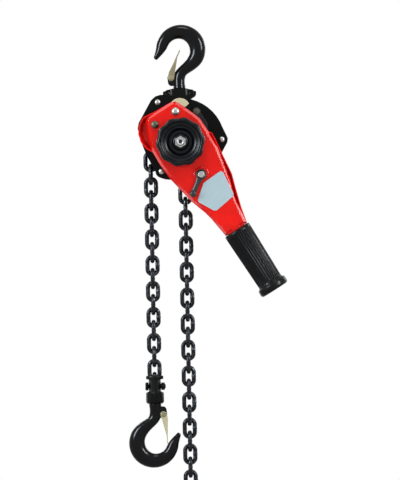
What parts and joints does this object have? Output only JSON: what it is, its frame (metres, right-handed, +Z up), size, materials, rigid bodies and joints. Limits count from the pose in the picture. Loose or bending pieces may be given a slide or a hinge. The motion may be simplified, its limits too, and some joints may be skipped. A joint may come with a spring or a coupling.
{
  "type": "come along winch",
  "caption": "Hand lever chain hoist: safety hooks, pocketed load sheave with gear train and load brake, ratchet lever with change pawl, and two hanging chain runs.",
  "frame": {"origin": "saddle of the top hook, where it hangs", "axes": "+X to the right in the picture, +Z up, the lever and handwheel side faces -Y"},
  "size_m": [0.2596, 0.1499, 0.7843],
  "materials": {
    "hook_black": "gloss",
    "frame_black": "satin",
    "chain_black": "oxide black",
    "lever_red": "gloss",
    "wheel_plastic": "satin",
    "grip_rubber": "matte",
    "yellow_zinc": "passivated zinc",
    "bright_steel": "zinc plated",
    "machined_steel": "machined",
    "cast_iron": "as cast",
    "brake_lining": "matte",
    "label_plate": "satin, bare"
  },
  "bodies": {
    "top_hook": {"top_hook": "hook_black", "top_latch_pin": "yellow_zinc"},
    "top_latch": {"top_latch": "yellow_zinc"},
    "top_yoke": {"top_yoke_front": "hook_black", "top_yoke_rear": "hook_black", "top_yoke_rivet_left": "machined_steel", "top_yoke_rivet_right": "machined_steel"},
    "frame": {"top_pin": "machined_steel", "front_side_plate": "frame_black", "rear_side_plate": "frame_black", "stay_bolt_left": "bright_steel", "stay_bolt_right": "bright_steel", "stay_bolt_bottom": "bright_steel", "chain_stripper": "cast_iron", "guide_pin_load": "machined_steel", "guide_pin_slack": "machined_steel", "sheave_bearing_front": "machined_steel", "sheave_bearing_rear": "machined_steel", "gear_case": "frame_black", "brake_cover": "yellow_zinc", "pawl_pin_upper": "bright_steel", "pawl_pin_lower": "bright_steel", "chain_in_body": "chain_black"},
    "guide_roller_load": {"guide_roller_load": "cast_iron"},
    "guide_roller_slack": {"guide_roller_slack": "cast_iron"},
    "brake_pawl_upper": {"brake_pawl_upper": "cast_iron"},
    "brake_pawl_lower": {"brake_pawl_lower": "cast_iron"},
    "ratchet_disc": {"ratchet_disc": "bright_steel"},
    "drive_shaft": {"pinion_shaft": "machined_steel", "friction_hub": "machined_steel", "friction_disc_inner": "brake_lining", "handwheel_nut": "bright_steel"},
    "drive_member": {"changeover_gear": "machined_steel", "friction_disc_outer": "brake_lining", "handwheel": "wheel_plastic"},
    "disc_gear_left": {"disc_gear_left": "machined_steel"},
    "disc_gear_right": {"disc_gear_right": "machined_steel"},
    "sheave": {"load_sheave": "cast_iron", "load_gear": "machined_steel"},
    "lever": {"lever_front_shell": "lever_red", "lever_rear_shell": "lever_red", "lever_bolt_left": "bright_steel", "lever_bolt_right": "bright_steel", "grip": "grip_rubber", "label_plate": "label_plate"},
    "selector": {"selector_lever": "frame_black", "selector_shaft": "bright_steel"},
    "change_pawl": {"change_pawl": "machined_steel"},
    "load_run": {"load_chain": "chain_black"},
    "slack_run": {"slack_chain": "chain_black", "end_stop_ring": "bright_steel"},
    "bottom_yoke": {"bottom_yoke_left": "hook_black", "bottom_yoke_right": "hook_black", "chain_bolt": "bright_steel", "chain_nut": "bright_steel"},
    "bottom_hook": {"bottom_hook": "hook_black", "bottom_latch_pin": "yellow_zinc"},
    "bottom_latch": {"bottom_latch": "yellow_zinc"}
  },
  "joints": [
    {"name": "top_latch_swing", "type": "hinge", "parent": "top_hook", "child": "top_latch", "pos_m": [-0.0133, 0, -0.0635], "axis": [0, -1, 0], "range_deg": [-10, 25]},
    {"name": "top_hook_swivel", "type": "hinge", "parent": "top_hook", "child": "top_yoke", "pos_m": [0, 0, -0.0865], "axis": [0, 0, 1], "continuous": true},
    {"name": "frame_tilt", "type": "hinge", "parent": "top_yoke", "child": "frame", "pos_m": [0, 0, -0.1135], "axis": [0, -1, 0], "range_deg": [-10, 45]},
    {"name": "guide_roller_load_spin", "type": "hinge", "parent": "frame", "child": "guide_roller_load", "pos_m": [-0.0452, 0, -0.15138], "axis": [0, -1, 0], "continuous": true},
    {"name": "guide_roller_slack_spin", "type": "hinge", "parent": "frame", "child": "guide_roller_slack", "pos_m": [0.03778, 0, -0.19928], "axis": [0, -1, 0], "continuous": true},
    {"name": "brake_pawl_upper_lift", "type": "hinge", "parent": "frame", "child": "brake_pawl_upper", "pos_m": [0.0268, -0.0292, -0.11896], "axis": [0, -1, 0], "range_deg": [0, 12], "stiffness_Nm_per_rad": 0.02, "springref_deg": -11.46},
    {"name": "brake_pawl_lower_lift", "type": "hinge", "parent": "frame", "child": "brake_pawl_lower", "pos_m": [0.02985, -0.0292, -0.21608], "axis": [0, -1, 0], "range_deg": [0, 12], "stiffness_Nm_per_rad": 0.02, "springref_deg": -11.46},
    {"name": "ratchet_disc_spin", "type": "hinge", "parent": "frame", "child": "ratchet_disc", "pos_m": [0.00029, -0.0292, -0.1684], "axis": [0, -1, 0], "continuous": true},
    {"name": "drive_shaft_spin", "type": "hinge", "parent": "frame", "child": "drive_shaft", "pos_m": [0.00029, 0, -0.1684], "axis": [0, -1, 0], "continuous": true},
    {"name": "drive_member_spin", "type": "hinge", "parent": "frame", "child": "drive_member", "pos_m": [0.00029, -0.06, -0.1684], "axis": [0, -1, 0], "continuous": true},
    {"name": "disc_gear_left_spin", "type": "hinge", "parent": "frame", "child": "disc_gear_left", "pos_m": [-0.02916, 0.037, -0.1514], "axis": [0, -1, 0], "continuous": true},
    {"name": "disc_gear_right_spin", "type": "hinge", "parent": "frame", "child": "disc_gear_right", "pos_m": [0.02973, 0.037, -0.1854], "axis": [0, -1, 0], "continuous": true},
    {"name": "sheave_spin", "type": "hinge", "parent": "frame", "child": "sheave", "pos_m": [0.00029, 0, -0.1684], "axis": [0, -1, 0], "continuous": true, "deforming": ["chain_in_body"]},
    {"name": "lever_swing", "type": "hinge", "parent": "frame", "child": "lever", "pos_m": [0.00029, -0.0565, -0.1684], "axis": [0, -1, 0], "continuous": true},
    {"name": "selector_turn", "type": "hinge", "parent": "lever", "child": "selector", "pos_m": [0.03251, -0.0735, -0.22078], "axis": [0, -1, 0], "range_deg": [0, 111.2]},
    {"name": "change_pawl_swing", "type": "hinge", "parent": "lever", "child": "change_pawl", "pos_m": [0.03251, -0.056, -0.22078], "axis": [0, -1, 0], "range_deg": [0, 24]},
    {"name": "load_chain_swing", "type": "hinge", "parent": "frame", "child": "load_run", "pos_m": [-0.04899, 0, -0.19143], "axis": [0, 1, 0], "range_deg": [-4, 34]},
    {"name": "slack_chain_swing", "type": "hinge", "parent": "frame", "child": "slack_run", "pos_m": [0.00614, 0, -0.21707], "axis": [0, 1, 0], "range_deg": [-4, 34]},
    {"name": "bottom_yoke_rock", "type": "hinge", "parent": "load_run", "child": "bottom_yoke", "pos_m": [-0.04899, 0, -0.56073], "axis": [1, 0, 0], "range_deg": [-6, 6]},
    {"name": "bottom_hook_swivel", "type": "hinge", "parent": "bottom_yoke", "child": "bottom_hook", "pos_m": [-0.04899, 0, -0.5845], "axis": [0, 0, 1], "continuous": true},
    {"name": "bottom_latch_swing", "type": "hinge", "parent": "bottom_hook", "child": "bottom_latch", "pos_m": [-0.03569, 0, -0.60613], "axis": [0, 1, 0], "range_deg": [0, 35], "stiffness_Nm_per_rad": 0.02, "springref_deg": -11.46}
  ],
  "couplings": [
    {"joint": "disc_gear_left_spin", "follows": "drive_shaft_spin", "ratio": -0.36},
    {"joint": "disc_gear_right_spin", "follows": "drive_shaft_spin", "ratio": -0.36},
    {"joint": "sheave_spin", "follows": "drive_shaft_spin", "ratio": 0.15},
    {"joint": "change_pawl_swing", "follows": "selector_turn", "ratio": 0.2158},
    {"joint": "slack_chain_swing", "follows": "load_chain_swing", "ratio": 1}
  ]
}
